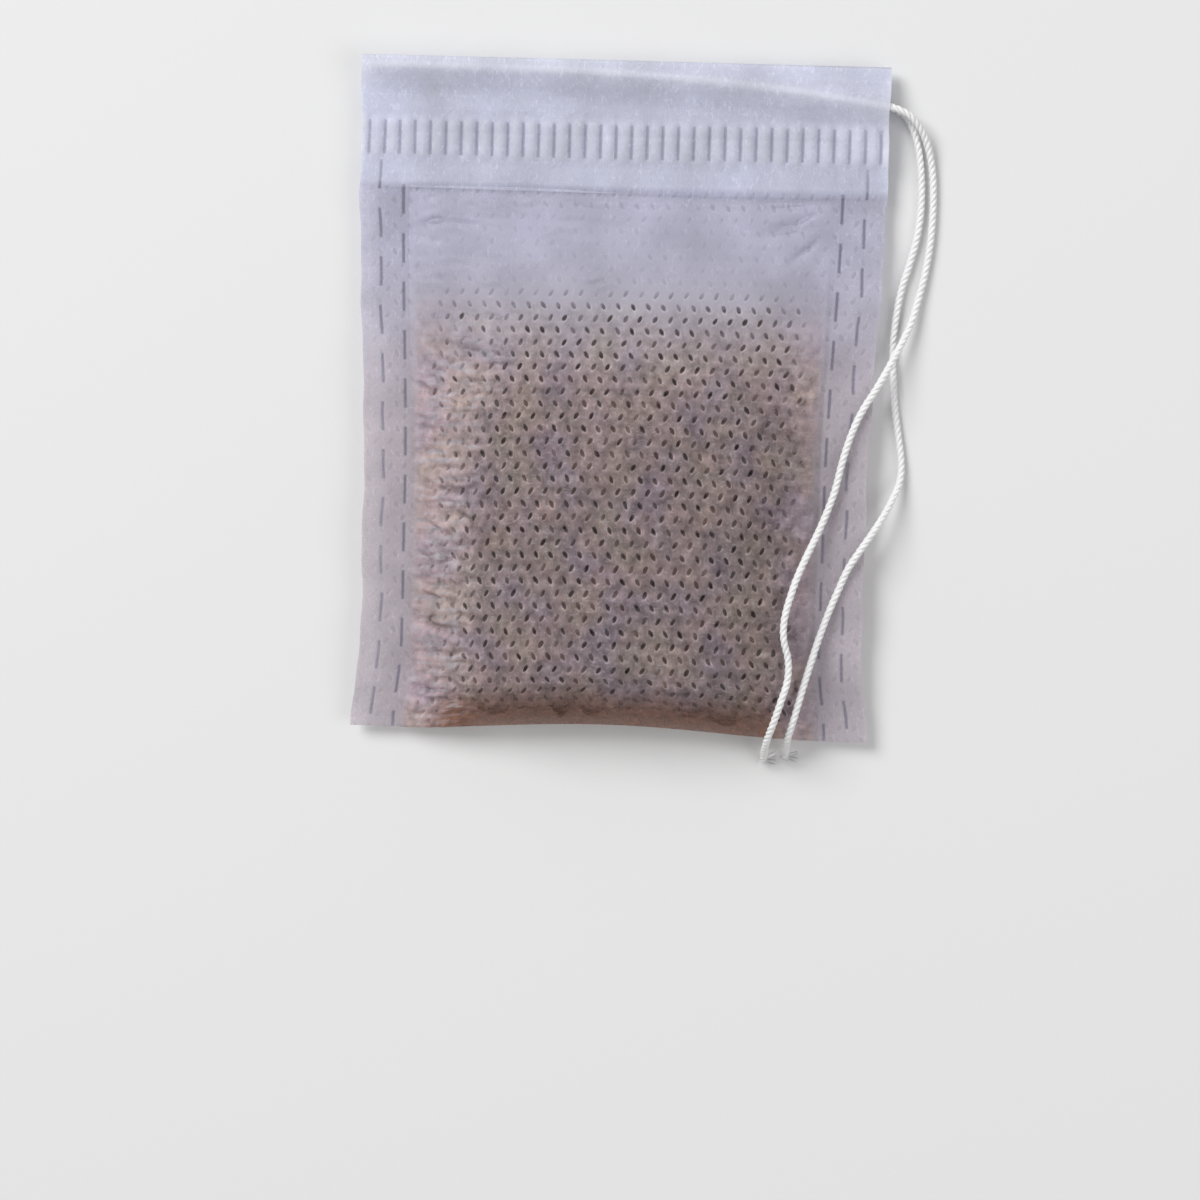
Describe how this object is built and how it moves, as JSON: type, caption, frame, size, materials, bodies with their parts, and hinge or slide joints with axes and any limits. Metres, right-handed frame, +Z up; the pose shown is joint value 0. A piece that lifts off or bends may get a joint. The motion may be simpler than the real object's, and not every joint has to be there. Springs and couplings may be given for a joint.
{
  "type": "tea bag",
  "caption": "Flat drawstring filter bag of non-woven cloth, heat-sealed at its sides and filled with loose grain tea, lying on its back.",
  "frame": {"origin": "on the surface that the bag lies on, under the middle of the bag's width and length", "axes": "+X across the bag to the side that the string's ends leave, +Y along the bag from its folded bottom to its hem, +Z up out of the bag's front"},
  "size_m": [0.0767, 0.0934, 0.0126],
  "materials": {
    "cloth": "matt white spunbond non-woven with a point-bonded pattern, thin enough to show the tea",
    "tea": "dry hulled buckwheat kernels, brown and olive, matt",
    "string": "white twisted cotton"
  },
  "bodies": {
    "root": {"bag": "cloth", "tea_filling": "tea", "drawstring_loop": "string", "drawstring_over_end": "string", "drawstring_under_end": "string"}
  },
  "joints": []
}
